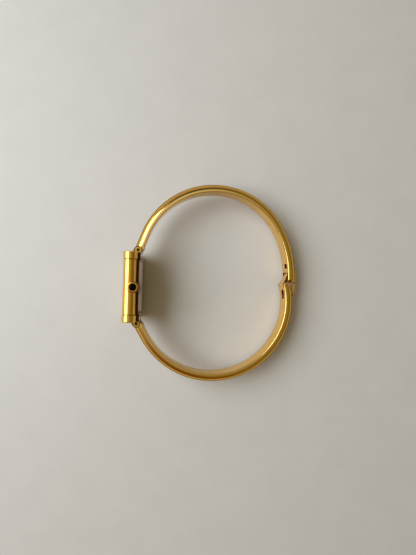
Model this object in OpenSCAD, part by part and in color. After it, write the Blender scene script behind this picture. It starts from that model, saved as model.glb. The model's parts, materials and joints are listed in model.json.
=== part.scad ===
// Ladies' bangle watch: a slim rectangular quartz case with a round bar along each long side,
// and two hollow D-section arms that swing on pins at the lugs and meet in a lever clasp.
// Millimetres. X runs from the dial to the clasp, Y towards 12 o'clock, Z along the bangle's axis
// with the crown on top. The drawing origin is midway between the two hinge pins.

/* [Case] */
// Length of the case, from 12 to 6 o'clock
case_l = 20.9; // [20:0.1:23]
// Width of the case over the two side bars
case_w = 20.5; // [20:0.1:23]
// Thickness of the case, front of the bars to the outside of the back
case_t = 5.6; // [5.6:0.05:6.1]
// Diameter of the round bar along each long side
bar_d = 4; // [3.6:0.1:4.2]
// Length of the plain cap at each end of a bar
cap_l = 2.15; // [1.8:0.05:2.6]
// How far a cap stands proud of its bar
cap_rise = 0.13; // [0.05:0.01:0.2]
// Width of the groove between a bar and its cap
groove_w = 0.3; // [0.15:0.05:0.4]
// Depth of that groove below the bar
groove_depth = 0.25; // [0.05:0.05:0.3]
// How far the case body stays inside the outside of the bars, each side
body_inset = 2.75; // [2.6:0.05:2.9]
// Diameter of the half-round bar across each end of the front
end_bar_d = 2.2; // [1.9:0.1:2.2]
// Wall between the movement cavity and the side of the case body
side_wall = 0.9; // [0.8:0.05:0.95]
// Wall between the movement cavity and the end of the case body
end_wall = 2.35; // [2.25:0.05:2.4]
// Width of the ledge that the glass and the dial rest against
dial_ledge = 1.9; // [1.8:0.05:2.1]

/* [Case back] */
// Thickness of the steel back plate
back_t = 1; // [0.9:0.05:1.1]
// How far the back plate stands out past each side of the case body
back_lip = 0.8; // [0.5:0.05:1]
// Height of the narrower step under that lip
back_step_h = 0.2; // [0.1:0.05:0.3]
// How far the step stays inside the lip
back_step_w = 0.45; // [0.2:0.05:0.5]
// How far the back plate reaches past each end of the cavity
back_seat = 0.35; // [0.3:0.05:0.6]
// Corner radius of the back plate
back_corner_r = 1.4; // [0.8:0.1:2]
// Height of the snap rim inside the back
rim_h = 0.35; // [0.25:0.05:0.4]
// Thickness of the snap rim
rim_t = 0.35; // [0.3:0.05:0.5]
// Width of the notch for the opening knife
notch_w = 2.4; // [1.5:0.1:3.5]

/* [Bezel, crystal and dial] */
// Width of the ledge that the glass rests on along its sides
crystal_seat_w = 0.2; // [0.1:0.05:0.4]
// Width of the ledge that the glass rests on along its ends
crystal_seat_l = 0.8; // [0.5:0.05:0.9]
// Thickness of the glass
crystal_t = 0.75; // [0.6:0.05:0.8]
// Thickness of the gasket round the glass
crystal_gasket_t = 0.25; // [0.15:0.05:0.35]
// Corner radius of the glass
crystal_corner_r = 0.8; // [0.4:0.1:1.2]
// Height of the bezel above the case front
bezel_h = 0.7; // [0.6:0.05:0.75]
// Space between the glass and the dial for the hands
hand_space = 0.8; // [0.75:0.05:0.9]
// Thickness of the dial
dial_t = 0.3; // [0.2:0.05:0.35]
// Height of the hour markers above the dial
marker_h = 0.15; // [0.08:0.01:0.15]
// Width of the hour markers
marker_w = 0.35; // [0.2:0.05:0.5]
// Length of the hour markers
marker_l = 1.1; // [0.8:0.1:1.4]
// Length of the hour hand from its centre
hour_hand_l = 3.1; // [2.4:0.1:3.4]
// Length of the minute hand from its centre
minute_hand_l = 4.1; // [3.6:0.1:4.4]
// Thickness of the hands
hand_t = 0.1; // [0.08:0.01:0.12]
// Clock angle that the minute hand shows
minute_angle = 60; // [0:1:359]
// Clock angle that the hour hand shows
hour_angle = 305; // [0:1:359]

/* [Crown] */
// Diameter of the crown
crown_d = 3.5; // [3.1:0.1:3.8]
// Height of the fluted part of the crown
crown_h = 1.35; // [1.2:0.05:1.7]
// Height of the collar that holds the stone
collar_h = 0.2; // [0.15:0.05:0.3]
// Number of flutes on the crown
crown_flutes = 24; // [16:1:28]
// Diameter of the black stone in the crown
stone_d = 2.1; // [1.8:0.1:2.4]
// How far the stone stands out of the crown
stone_rise = 0.45; // [0.3:0.05:0.6]
// Height of the stem's axis in front of the case back's outside
stem_depth = 2.5; // [2.45:0.05:2.55]
// Diameter of the winding stem
stem_d = 0.8; // [0.7:0.05:0.9]
// Outside diameter of the tube in the case wall
tube_d = 1.9; // [1.8:0.05:1.95]
// How far the crown pulls out to set the hands
crown_pull = 0.8; // [0.5:0.1:0.8]

/* [Hinges] */
// Half the distance between the two hinge pins
pin_y = 11.25; // [11.2:0.05:11.5]
// Distance of the pin axes in front of the case back's outside
pin_depth = 1.6; // [1.5:0.05:1.7]
// Diameter of the hinge pins
pin_d = 1; // [0.8:0.05:1.1]
// Radius of the lugs round the pins
lug_r = 1.2; // [1.1:0.05:1.3]
// Thickness of each lug
lug_t = 1.2; // [1:0.1:1.6]
// Radius of the arm's tube on the pin
knuckle_r = 1.2; // [1.05:0.05:1.22]
// How far the pin ends lie below the lug faces
pin_recess = 0.35; // [0.1:0.05:0.5]

/* [Arms] */
// Width of the arms
arm_w = 6.4; // [6.2:0.1:7]
// Thickness of the arms at mid width
arm_t = 2.7; // [2.6:0.05:2.8]
// Thickness of the flat edge of the arms
arm_edge = 0.8; // [0.7:0.05:0.9]
// Wall of the hollow outer shell
shell_wall = 0.45; // [0.35:0.05:0.5]
// Thickness of the inner lining strip
liner_t = 0.4; // [0.3:0.05:0.45]
// Radius of the upper arm's long arc, at mid thickness
upper_r = 23.7; // [23:0.05:25]
// Place of that arc's centre along X
upper_cx = 24.15; // [23.9:0.05:24.6]
// Place of that arc's centre along Y
upper_cy = 8; // [7.5:0.1:8.5]
// Radius of the flatter arc that leads the upper arm to the clasp
upper_flank_r = 31; // [29:0.5:33]
// Radius of the lower arm's long arc, at mid thickness
lower_r = 24.5; // [24.1:0.05:24.9]
// Place of that arc's centre along X
lower_cx = 23.85; // [23.6:0.05:24.2]
// Distance of that arc's centre below the middle of the case
lower_cy = 3.6; // [3.3:0.1:4]
// Radius of the tighter arc that leads the lower arm to the clasp
lower_flank_r = 23.7; // [23.4:0.1:23.9]
// Length of the solid block at each arm's hinge end
hinge_block_l = 1.7; // [1.5:0.1:2.4]
// Length of the plug that the block carries into the arm
plug_l = 2.6; // [1.5:0.1:3.5]

/* [Clasp] */
// Height above the case middle at which the upper arm ends
upper_end_y = 3.4; // [3.35:0.05:3.6]
// Height above the case middle at which the lower arm ends
lower_end_y = 2; // [1.8:0.05:2.05]
// Height at which the lining of the upper arm ends and its mouth begins
mouth_y = 5.7; // [5.6:0.05:5.9]
// Height at which the window in the upper lining begins
window_y = 7; // [6.9:0.1:7.4]
// Length of the window in the upper lining
window_l = 1.5; // [1:0.1:1.6]
// Width of the window in the upper lining
window_w = 2.4; // [2:0.1:2.8]
// How far the window sits off the middle of the arm, towards the crown
window_z = 0.7; // [0:0.1:0.8]
// Thickness of the fork's cheeks
cheek_w = 1; // [0.8:0.05:1.2]
// Height at which the fork's cross piece ends inside the arm
fork_top_y = 9.6; // [9.4:0.1:11]
// Radius of the ears below the fork's cheeks
ear_r = 0.7; // [0.65:0.05:0.75]
// Height of the ears' pins above the case middle
ear_y = 2.95; // [2.9:0.05:3]
// Diameter of the ears' pins
ear_pin_d = 0.8; // [0.6:0.05:0.9]
// Thickness of the tongue
tongue_t = 0.35; // [0.3:0.05:0.4]
// Width of the tongue where it leaves the lower arm
tongue_root_w = 4.6; // [4:0.1:5]
// Width of the tongue inside the upper arm
tongue_tip_w = 3.1; // [2.2:0.1:3.2]
// Height that the tongue reaches above the case middle
tongue_top_y = 6.2; // [6:0.05:6.3]
// Height at which the lining of the lower arm ends and the tongue begins
tongue_root_y = 0.9; // [0.7:0.1:1.2]
// Thickness of the cover plate outside the upper arm's end
cover_t = 0.4; // [0.35:0.05:0.5]
// Width of the cover plate and the lever
cover_w = 2.6; // [2.4:0.1:3.4]
// Height at which the cover plate ends
cover_top_y = 6.6; // [5.5:0.1:7.5]
// Height of the lever's hinge above the case middle
barrel_y = 2.45; // [2.4:0.05:2.5]
// Radius of the lever's hinge barrel
barrel_r = 0.36; // [0.34:0.01:0.38]
// Width of the lever's own part of the barrel
barrel_w = 1.2; // [1:0.1:1.4]
// Diameter of the lever's hinge pin
lever_pin_d = 0.34; // [0.3:0.02:0.36]
// Thickness of the lever
lever_t = 0.3; // [0.26:0.01:0.32]
// Radius to which the lever is bent
lever_bend_r = 16.5; // [16.5:0.5:18]
// Distance of the lever's tip below the case middle
lever_tip_y = 1.7; // [1.4:0.05:2]
// Length of the keyhole slot in the lower lining
keyhole_l = 3; // [2:0.1:3.2]
// Width of the keyhole slot
keyhole_w = 1.9; // [1.4:0.1:2.1]
// How far the slot sits off the middle of the arm, towards the crown
keyhole_z = 0.4; // [0:0.1:0.5]
// Diameter of the round end of the keyhole slot
keyhole_d = 2.4; // [2.2:0.1:2.8]

/* [Movement] */
// Thickness of the movement, without dial and hands
movement_t = 2.4; // [2.35:0.05:2.45]
// Wall of the holder between the movement and the case
holder_wall = 0.6; // [0.55:0.05:0.65]
// How much less than half the movement's length the battery's diameter is
battery_room = 0.6; // [0.6:0.05:0.8]
// Thickness of the battery
battery_t = 2.15; // [2.05:0.05:2.15]
// Size of a gear tooth in the going train
train_module = 0.05; // [0.048:0.0005:0.05]
// Thickness of the wheels
wheel_t = 0.12; // [0.1:0.01:0.14]
// Diameter of the wheel arbors
arbor_d = 0.24; // [0.2:0.01:0.26]
// Diameter of the rotor's magnet
rotor_d = 0.9; // [0.8:0.02:0.94]
// Diameter of the coil
coil_d = 1.3; // [1.1:0.05:1.4]
// Length of the coil core's bare lug at each end of the winding
coil_lug = 1.5; // [1.4:0.05:1.8]
// Diameter of the screw heads
screw_d = 0.9; // [0.7:0.05:1]

/* [Fits] */
// Radial clearance of a part that turns on a pin
running_fit = 0.03; // [0.02:0.005:0.05]
// Clearance between parts that are pressed or brazed together
seat_fit = 0.01; // [0.005:0.005:0.02]
// Side clearance between parts that move past each other
side_gap = 0.15; // [0.1:0.01:0.2]

/* [Hidden] */

$fn = 48;
over = 1;

// Case levels along X, from the wrist side to the front
back_x = pin_depth;
body_back_x = back_x - back_t;
front_x = back_x - case_t;
bar_r = bar_d / 2;
bar_x = front_x + bar_r;
bar_z = case_w / 2 - bar_r;
cap_r = bar_r + cap_rise;
cap_y = case_l / 2 - cap_l;
bezel_back_x = front_x + bezel_h;
crystal_front_x = bezel_back_x - crystal_t;
dial_front_x = bezel_back_x + hand_space;
dial_back_x = dial_front_x + dial_t;
stem_x = back_x - stem_depth;
end_inset = 0.1;
end_y = case_l / 2 - end_inset;
end_bar_r = end_bar_d / 2;
body_w = case_w - 2 * body_inset;
cavity_w = body_w - 2 * side_wall;
cavity_l = 2 * (end_y - end_wall);
back_w = body_w + 2 * back_lip;
back_l = cavity_l + 2 * back_seat;
end_block_x = body_back_x + 0.3;
end_block_y = back_l / 2 + end_inset;
gasket_w = 0.35;
gasket_h = 0.3;
valley = 0.4;
bar_flank_z = bar_z - sqrt(pow(bar_r, 2) - pow(bezel_back_x - bar_x, 2));
bezel_w = 2 * (bar_flank_z - valley);
bezel_l = 2 * (end_y - end_bar_d - end_inset);
opening_w = cavity_w - 2 * dial_ledge;
opening_l = cavity_l - 2 * dial_ledge;
crystal_w = opening_w + 2 * crystal_seat_w;
crystal_l = opening_l + 2 * crystal_seat_l;

// Arms: the section's inner face lies half the thickness inside the mid line
inner_off = -arm_t / 2;
hollow_half_w = arm_w / 2 - shell_wall;
hollow_dome = arm_t - arm_edge - shell_wall;
lip_bevel = 0.15;
// Power that makes the outside dome a little fuller than an ellipse
fullness = 0.88;
// Cosine and sine of the angle that each arm's long arc turns through
upper_turn = [-0.6, 0.8];
lower_turn = [-0.5376, 0.8432];
upper_arm = [upper_cx, upper_cy, upper_r, upper_flank_r, upper_turn];
lower_arm = [lower_cx, lower_cy, lower_r, lower_flank_r, lower_turn];

// Clasp
upper_inner_x = arm_face_x(upper_arm, upper_end_y, -arm_t / 2);
upper_crest_x = flank_centre(upper_arm)[0] + upper_flank_r + arm_t / 2;
lower_inner_x = arm_face_x(lower_arm, -lower_end_y, -arm_t / 2);
mouth_x = arm_face_x(upper_arm, mouth_y, -arm_t / 2) + liner_t;
cover_gap = 0.06;
barrel_x = upper_crest_x + cover_t - barrel_r;
barrel_gap = 0.05;
lever_bend_cx = upper_crest_x + cover_t - lever_bend_r;
lever_bend_cy = barrel_y + 0.75;
ear_x = upper_inner_x + 0.72;
cheek_z = hollow_half_w - seat_fit - cheek_w;
cheek_depth = 0.6;

// Movement levels along X, counted from the front of its main plate
plate_x = dial_back_x;
floor_x = plate_x + 0.65;
pocket_x = plate_x + 0.6;
boss_x = plate_x + 0.85;
bridge_x = plate_x + 2;
bridge_t = 0.25;
clearance_x = 0.05;
movement_w = cavity_w - 2 * holder_wall;
movement_l = cavity_l - 2 * holder_wall;
battery_d = movement_l / 2 - battery_room;
battery_x = plate_x + movement_t - clearance_x - battery_t;
clamp_t = 0.1;
stator_x = plate_x + 0.9;
stator_t = 0.25;
core_t = 0.4;
board_t = 0.2;
pivot_depth = 0.2;
arbor_r = arbor_d / 2;
cannon_r = 0.26;
pipe_r = 0.5;
post_r = 0.12;
pillar_r = 0.45;
screw_shank_r = 0.2;
screw_head_t = 0.14;
screw_l = 1.1;

// Tooth counts
rotor_teeth = 8;
intermediate_teeth = 36;
intermediate_pinion = 8;
third_teeth = 36;
third_pinion = 9;
centre_teeth = 36;
cannon_teeth = 14;
minute_teeth = 42;
minute_pinion = 10;
hour_teeth = 40;
hour_module = train_module * (cannon_teeth + minute_teeth) / (minute_pinion + hour_teeth);

// Places seen from behind the movement, as [across, up]: across is -Z and up is +Y
centre_p = [0, 0];
third_p = centre_p + polar((third_pinion + centre_teeth) * train_module / 2, 250);
intermediate_p = third_p + polar((intermediate_pinion + third_teeth) * train_module / 2, 290);
rotor_p = intermediate_p + polar((rotor_teeth + intermediate_teeth) * train_module / 2, 270);
minute_p = centre_p + polar((cannon_teeth + minute_teeth) * train_module / 2, 180);
battery_p = [movement_w, movement_l] / 2 - (battery_d / 2 + 0.1) * [1, 1];
battery_left = battery_p[0] - battery_d / 2;
board_left = 0.4 - movement_w / 2;
board_right = battery_left - 0.4;
chip_w = 1.3;
bridge_screws_p = [[-2.3, -2], [2.1, -1.2]];
clamp_screw_p = [-2.6, 5.6];
coil_up = 1.3 - movement_l / 2;
core_reach = movement_w / 2 - 1.1;
coil_l = 2 * (core_reach - coil_lug);
core_h = 0.9;

// Stem, along Z from the movement to the crown
stem_r = stem_d / 2;
square_w = 0.4;
pinion_l = 1;
pinion_r = 0.42;
neck_l = 1.15;
neck_r = 0.25;
clip_t = 0.25;
clip_z = movement_w / 2 - 0.7;
neck_z = clip_z - 0.85;
round_z = neck_z - 0.55;
square_z = round_z - 1.6;
pinion_z = square_z + 0.3;
thread_r = 0.3;
post_l = 1.5;
crown_z = case_w / 2 + 0.05;
tube_in_z = cavity_w / 2 + 0.1;
tube_out_z = case_w / 2 - 0.05;
tube_bore_r = 0.65;
stone_seat = 0.35;
seal_z = crown_z - 1.1;
seal_l = 0.4;
seal_r = 0.47;

function polar(r, a) = [r * cos(a), r * sin(a)];
function to_pin(arm) = [-arm[0], pin_y - arm[1]];
function neck_length(arm) = sqrt(pow(norm(to_pin(arm)), 2) - pow(arm[2], 2));
function turn(arm) = atan2(arm[4][1], arm[4][0]);
// Direction from the long arc's centre to its join with the last arc
function join(arm) = let (p = to_pin(arm))
    atan2(p[1], p[0]) - acos(arm[2] / norm(p)) - turn(arm);
function flank_centre(arm) = [arm[0], arm[1]] + polar(arm[2] - arm[3], join(arm));
function arm_face_x(arm, y, off) =
    let (c = flank_centre(arm)) c[0] + sqrt(pow(arm[3] + off, 2) - pow(y - c[1], 2));
function arc(c, r, a0, a1, n) = [for (i = [0:n]) c + polar(r, a0 + (a1 - a0) * i / n)];
function rounded_rect(w, l, r) = [
    for (q = [0:3], p = arc([0, 0], r, 90 * q, 90 * q + 90, 6))
        [(q == 0 || q == 3 ? 1 : -1) * (w / 2 - r) + p[0], (q < 2 ? 1 : -1) * (l / 2 - r) + p[1]]
];
function half_dome(x, dome, half_w, n) = [
    for (i = [0:n]) let (a = 180 * i / n - 90)
        [x + dome * pow(cos(a), fullness), half_w * sign(a) * pow(abs(sin(a)), fullness)]
];
function clock(c, r) = [-r * sin(c), r * cos(c)];

module mirror_y() {
    children();
    mirror([0, 1, 0]) children();
}

module mirror_z() {
    children();
    mirror([0, 0, 1]) children();
}

// Moves the drawing to its place on the ground, centred over its footprint
module place() {
    x_mid = (front_x - cap_rise + upper_crest_x + cover_t) / 2;
    y_mid = (upper_cy + upper_r - lower_cy - lower_r) / 2;
    translate([-x_mid, -y_mid, case_w / 2 + cap_rise]) children();
}

// Lays children's +Z along +X, with their +X along -Z and their +Y along +Y
module along_x(x, p = [0, 0]) {
    translate([x, p[1], -p[0]]) rotate([0, 90, 0]) children();
}

module disc(x0, x1, r, p = [0, 0]) {
    along_x(x0, p) cylinder(r = r, h = x1 - x0);
}

module slab(x0, x1, w, l, r) {
    along_x(x0) linear_extrude(x1 - x0) polygon(rounded_rect(w, l, r));
}

module frame(x0, x1, w, l, r, wall) {
    difference() {
        slab(x0, x1, w, l, r);
        slab(x0 - over, x1 + over, w - 2 * wall, l - 2 * wall, max(r - wall, 0.3));
    }
}

module rod_z(p, r, z0, z1) {
    translate([p[0], p[1], z0]) cylinder(r = r, h = z1 - z0);
}

// A flat wheel with straight-flanked teeth
module gear(teeth, module_size, h) {
    r = teeth * module_size / 2;
    radii = [r - 0.85 * module_size, r + 0.55 * module_size];
    pitch = 360 / teeth;
    linear_extrude(h) polygon([
        for (i = [0:teeth - 1], k = [[-0.3, 0], [-0.13, 1], [0.13, 1], [0.3, 0]])
            polar(radii[k[1]], (i + k[0]) * pitch)
    ]);
}

module wheel(teeth, module_size, from_x, to_x, p) {
    along_x(from_x, p) gear(teeth, module_size, to_x - from_x);
}

// Case

module lug_outline() {
    root = [bezel_back_x + 1.1, end_y - 0.3];
    from_pin = root - [0, pin_y];
    top = 360 + atan2(from_pin[1], from_pin[0]) - acos(lug_r / norm(from_pin));
    polygon(concat([root], arc([0, pin_y], lug_r, top, -40, 24), [[end_block_x, end_y - 0.3]]));
}

module side_bar() {
    core_y = cap_y - groove_w;
    translate([bar_x, 0, bar_z]) rotate([90, 0, 0]) {
        cylinder(r = bar_r, h = 2 * core_y, center = true);
        cylinder(r = bar_r - groove_depth, h = 2 * cap_y + 0.1, center = true);
    }
    mirror_y() translate([bar_x, cap_y, bar_z]) rotate([-90, 0, 0])
        rotate_extrude() polygon(concat([[0, 0], [cap_r - 0.05, 0], [cap_r, 0.05]],
            arc([cap_r - 0.3, cap_l - 0.3], 0.3, 0, 90, 5), [[0, cap_l]]));
}

module case_middle() {
    side_gap_r = knuckle_r + side_gap;
    color("goldenrod") difference() {
        union() {
            slab(bezel_back_x, body_back_x, body_w, 2 * end_y, 0.5);
            mirror_y() translate([bezel_back_x, end_block_y, -body_w / 2])
                cube([end_block_x - bezel_back_x, end_y - end_block_y, body_w]);
            mirror_z() side_bar();
            mirror_y() rod_z([front_x + end_bar_r, end_y - end_bar_r], end_bar_r, -bar_z, bar_z);
            mirror_y() mirror_z() translate([0, 0, arm_w / 2 + side_gap])
                linear_extrude(lug_t) lug_outline();
        }
        slab(dial_front_x, back_x + over, cavity_w, cavity_l, 0.8);
        slab(body_back_x - gasket_h, back_x + over, cavity_w + 2 * gasket_w,
             cavity_l + 2 * gasket_w, 0.8 + gasket_w);
        slab(front_x - over, dial_front_x + over, opening_w, opening_l, 0.6);
        mirror_y() rod_z([0, pin_y], side_gap_r, -arm_w / 2 - side_gap, arm_w / 2 + side_gap);
        mirror_y() rod_z([0, pin_y], pin_d / 2 + seat_fit, -case_w, case_w);
        rod_z([stem_x, 0], tube_d / 2 + seat_fit, cavity_w / 2 - over, case_w);
    }
}

module bezel() {
    bevel = 0.2;
    color("gold") difference() {
        union() {
            slab(front_x + bevel, bezel_back_x, bezel_w, bezel_l, 1.4);
            slab(front_x, front_x + bevel, bezel_w - 2 * bevel, bezel_l - 2 * bevel, 1.2);
        }
        slab(front_x - over, bezel_back_x + over, crystal_w + 2 * crystal_gasket_t,
             crystal_l + 2 * crystal_gasket_t, crystal_corner_r + crystal_gasket_t);
    }
}

module crystal() {
    bevel = 0.12;
    color("lightcyan", 0.4) {
        slab(crystal_front_x + bevel, bezel_back_x, crystal_w - 2 * seat_fit,
             crystal_l - 2 * seat_fit, crystal_corner_r);
        slab(crystal_front_x, crystal_front_x + bevel, crystal_w - 2 * bevel,
             crystal_l - 2 * bevel, crystal_corner_r);
    }
}

module crystal_gasket() {
    color("ivory") frame(front_x + 0.1, bezel_back_x, crystal_w + 2 * (crystal_gasket_t - seat_fit),
        crystal_l + 2 * (crystal_gasket_t - seat_fit), crystal_corner_r + crystal_gasket_t,
        crystal_gasket_t - seat_fit);
}

module dial() {
    color("white") difference() {
        slab(dial_front_x, dial_back_x, cavity_w - 2 * side_gap, cavity_l - 2 * side_gap, 0.7);
        disc(dial_front_x - over, dial_back_x + over, pipe_r + 0.1);
    }
}

module hour_markers() {
    track = [opening_w / 2 - 0.75, opening_l / 2 - 0.75];
    color("goldenrod") for (h = [1:12]) {
        c = 30 * h;
        reach = min(track[0] / max(abs(sin(c)), 0.001), track[1] / max(abs(cos(c)), 0.001));
        along_x(dial_front_x - marker_h, clock(c, reach)) rotate(c)
            translate([-marker_w / 2, -marker_l / 2, 0])
                cube([marker_w, marker_l, marker_h]);
    }
}

module hand(x, length, hub_r, bore_r, angle) {
    tail = 0.9;
    width = 0.34;
    along_x(x) difference() {
        union() {
            cylinder(r = hub_r, h = hand_t);
            rotate(angle) linear_extrude(hand_t) polygon([
                [-width / 2, -tail], [width / 2, -tail], [width, length * 0.3], [0, length],
                [-width, length * 0.3]
            ]);
        }
        translate([0, 0, -over]) cylinder(r = bore_r, h = hand_t + 2 * over);
    }
}

module hour_hand() {
    color("black") hand(dial_front_x - marker_h - 0.2, hour_hand_l, pipe_r + 0.22,
        pipe_r - 0.09, hour_angle);
}

module minute_hand() {
    color("black") hand(dial_front_x - marker_h - 0.45, minute_hand_l, cannon_r + 0.3,
        cannon_r - 0.09, minute_angle);
}

module case_tube() {
    color("gold") translate([stem_x, 0, 0]) difference() {
        rod_z([0, 0], tube_d / 2, tube_in_z, tube_out_z);
        rod_z([0, 0], tube_bore_r, tube_in_z - over, tube_out_z + over);
    }
}

module case_back() {
    edge = 0.12;
    step_x = body_back_x + back_step_h;
    color("silver") difference() {
        union() {
            slab(body_back_x, step_x, back_w - 2 * back_step_w, back_l, back_corner_r);
            slab(step_x, back_x - edge, back_w, back_l, back_corner_r);
            slab(back_x - edge, back_x, back_w - 2 * edge, back_l - 2 * edge, back_corner_r);
            frame(body_back_x - rim_h, body_back_x, cavity_w - 2 * seat_fit,
                  cavity_l - 2 * seat_fit, 0.8, rim_t);
        }
        translate([body_back_x - 0.01, back_l / 2 - 0.35, -notch_w / 2])
            cube([0.2, over, notch_w]);
    }
}

module case_back_gasket() {
    w = cavity_w + 2 * (gasket_w - seat_fit);
    l = cavity_l + 2 * (gasket_w - seat_fit);
    color("dimgray") frame(body_back_x - gasket_h, body_back_x, w, l, 0.8 + gasket_w,
        gasket_w - 2 * seat_fit);
}

// Crown and stem

module crown() {
    flute_r = 0.14;
    ring = crown_d / 2;
    color("goldenrod") translate([stem_x, 0, 0]) difference() {
        union() {
            rod_z([0, 0], ring - 0.15, crown_z, crown_z + crown_h);
            rod_z([0, 0], ring, crown_z + 0.15, crown_z + crown_h - 0.15);
            rod_z([0, 0], stone_d / 2 + 0.3, crown_z + crown_h, crown_z + crown_h + collar_h);
            rod_z([0, 0], tube_bore_r - running_fit, crown_z - post_l, crown_z + 0.1);
        }
        for (i = [0:crown_flutes - 1])
            rod_z(polar(ring + flute_r / 2, 360 * i / crown_flutes), flute_r, crown_z - 0.05,
                  crown_z + crown_h + 0.05);
        rod_z([0, 0], stone_d / 2 + seat_fit, crown_z + crown_h + collar_h - stone_seat,
              crown_z + crown_h + over);
        rod_z([0, 0], thread_r + seat_fit, crown_z - post_l - over, crown_z + 0.2);
        difference() {
            rod_z([0, 0], over, seal_z, seal_z + seal_l);
            rod_z([0, 0], seal_r, seal_z - over, seal_z + seal_l + over);
        }
    }
}

module crown_stone() {
    r = stone_d / 2;
    base_z = crown_z + crown_h + collar_h - stone_seat;
    dome_z = crown_z + crown_h + collar_h;
    color("black") translate([stem_x, 0, base_z]) rotate_extrude() polygon(concat([[0, 0]],
        [for (a = [0:10:80]) [r * cos(a), dome_z - base_z + stone_rise * sin(a)]],
        [[0, dome_z - base_z + stone_rise]]));
}

module crown_gasket() {
    color("dimgray") translate([stem_x, 0, 0]) difference() {
        rod_z([0, 0], tube_bore_r - seat_fit, seal_z + 2 * seat_fit, seal_z + seal_l - 2 * seat_fit);
        rod_z([0, 0], seal_r + seat_fit, seal_z - over, seal_z + seal_l + over);
    }
}

module winding_stem() {
    color("silver") translate([stem_x, 0, 0]) {
        translate([-square_w / 2, -square_w / 2, square_z])
            cube([square_w, square_w, round_z - square_z]);
        rod_z([0, 0], stem_r, round_z, neck_z);
        rod_z([0, 0], neck_r, neck_z, neck_z + neck_l);
        rod_z([0, 0], stem_r, neck_z + neck_l, crown_z - post_l - 0.1);
        rod_z([0, 0], thread_r, crown_z - post_l - 0.1, crown_z + 0.15);
    }
}

module setting_pinion() {
    bore = square_w + 2 * running_fit;
    color("silver") translate([stem_x, 0, pinion_z]) difference() {
        union() {
            cylinder(r = pinion_r - 0.04, h = pinion_l);
            gear(12, 2 * (pinion_r - 0.04) / 12, 0.3);
        }
        translate([-bore / 2, -bore / 2, -over]) cube([bore, bore, pinion_l + 2 * over]);
    }
}

module stem_clip() {
    slot = neck_r + running_fit;
    color("silver") difference() {
        translate([floor_x, -0.9, clip_z]) cube([bridge_x - 0.05 - floor_x, 1.8, clip_t]);
        rod_z([stem_x, 0], slot, clip_z - over, clip_z + clip_t + over);
        translate([stem_x, -slot, clip_z - over]) cube([2 * over, 2 * slot, clip_t + 2 * over]);
    }
}

// Movement

module movement_holder() {
    holder_w = cavity_w - side_gap;
    holder_l = cavity_l - side_gap;
    back = body_back_x - gasket_h - clearance_x;
    color("whitesmoke") difference() {
        slab(dial_back_x, back, holder_w, holder_l, 0.8);
        slab(dial_back_x - over, back + over, movement_w + 2 * running_fit,
             movement_l + 2 * running_fit, 0.7);
        rod_z([stem_x, 0], stem_r + side_gap, 0, case_w);
    }
}

module pivot_bore(from_x, p) {
    disc(from_x - pivot_depth, from_x + over / 4, arbor_r + running_fit, p);
}

module main_plate() {
    stem_block = [0.9, 2, 0.4];
    color("burlywood") difference() {
        union() {
            slab(plate_x, floor_x, movement_w, movement_l, 0.7);
            disc(floor_x, boss_x, 1.55);
            disc(floor_x, boss_x, 1.4, minute_p);
            for (p = bridge_screws_p) disc(floor_x, bridge_x, pillar_r, p);
            disc(floor_x, battery_x + battery_t, pillar_r, clamp_screw_p);
            translate([floor_x, -stem_block[1] / 2, movement_w / 2 - stem_block[2]])
                cube([stem_x - floor_x, stem_block[1], stem_block[2]]);
        }
        disc(battery_x, floor_x + over, battery_d / 2 + clearance_x, battery_p);
        difference() {
            union() {
                disc(plate_x - over, pocket_x, 1.3);
                disc(plate_x - over, pocket_x, 1.2, minute_p);
            }
            disc(plate_x, pocket_x + over, post_r, minute_p);
        }
        disc(pocket_x - over, boss_x + over, cannon_r + running_fit);
        pivot_bore(boss_x, third_p);
        pivot_bore(floor_x, intermediate_p);
        pivot_bore(floor_x, rotor_p);
        rod_z([stem_x, 0], stem_r + running_fit, movement_w / 2 - over, case_w);
        for (p = bridge_screws_p)
            disc(bridge_x - screw_l, bridge_x + over, screw_shank_r + seat_fit, p);
        disc(battery_x + battery_t - screw_l, bridge_x + over, screw_shank_r + seat_fit,
             clamp_screw_p);
    }
}

module train_bridge() {
    color("lightgray") difference() {
        along_x(bridge_x) linear_extrude(bridge_t) polygon([
            [-2.9, -4.1], [2.7, -4.1], [2.7, -0.7], [0.8, 0.6], [-0.8, 0.8], [-2.9, -1.2]
        ]);
        for (p = [centre_p, third_p, intermediate_p, rotor_p])
            disc(bridge_x - over, bridge_x + bridge_t + over, arbor_r + running_fit, p);
        for (p = bridge_screws_p)
            disc(bridge_x - over, bridge_x + bridge_t + over, screw_shank_r + seat_fit, p);
    }
}

module battery() {
    step = 0.5;
    color("silver") {
        disc(battery_x + step, battery_x + battery_t, battery_d / 2, battery_p);
        disc(battery_x, battery_x + step, battery_d / 2 - step, battery_p);
    }
}

module battery_clamp() {
    x = battery_x + battery_t;
    color("gold") difference() {
        along_x(x) linear_extrude(clamp_t) polygon([
            [-3.1, 5.2], [-2.1, 5.1], [1, 3.6], [3.2, 3.3], [3.4, 4.3], [1.2, 4.6], [-2, 6.1],
            [-3.1, 6.1]
        ]);
        disc(x - over, x + over, screw_shank_r + seat_fit, clamp_screw_p);
    }
}

module movement_screw(x, p) {
    disc(x - screw_l + 0.05, x, screw_shank_r, p);
    difference() {
        disc(x, x + screw_head_t, screw_d / 2, p);
        along_x(x + screw_head_t / 2, p) translate([-over, -0.07, 0]) cube([2 * over, 0.14, over]);
    }
}

module movement_screws() {
    color("silver") {
        for (p = bridge_screws_p) movement_screw(bridge_x + bridge_t, p);
        movement_screw(battery_x + battery_t + clamp_t, clamp_screw_p);
    }
}

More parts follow.
